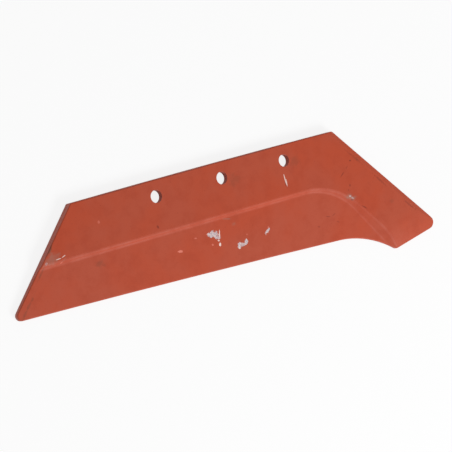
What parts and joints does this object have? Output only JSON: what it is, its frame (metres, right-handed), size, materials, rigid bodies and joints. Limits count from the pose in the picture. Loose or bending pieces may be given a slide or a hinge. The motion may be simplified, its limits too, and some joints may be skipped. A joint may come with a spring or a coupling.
{
  "type": "plough share",
  "caption": "Left-hand forged plough share with a chisel nose, a stepped rear face, a thin blade and countersunk bolt holes in a line, in chipped red oxide paint.",
  "frame": {"origin": "on the plane of the working face, under the middle of the share's bounding box", "axes": "+X along the line of bolt holes from the wing to the nose, +Y from the cutting edge to the back edge, +Z from the working face to the rear face that seats on the frog"},
  "size_m": [0.5138, 0.1428, 0.01],
  "materials": {
    "red_oxide_paint": "semi-matte red oxide primer paint, chipped and scratched to bare metal in places"
  },
  "bodies": {
    "root": {"plough_share": "red_oxide_paint"}
  },
  "joints": []
}
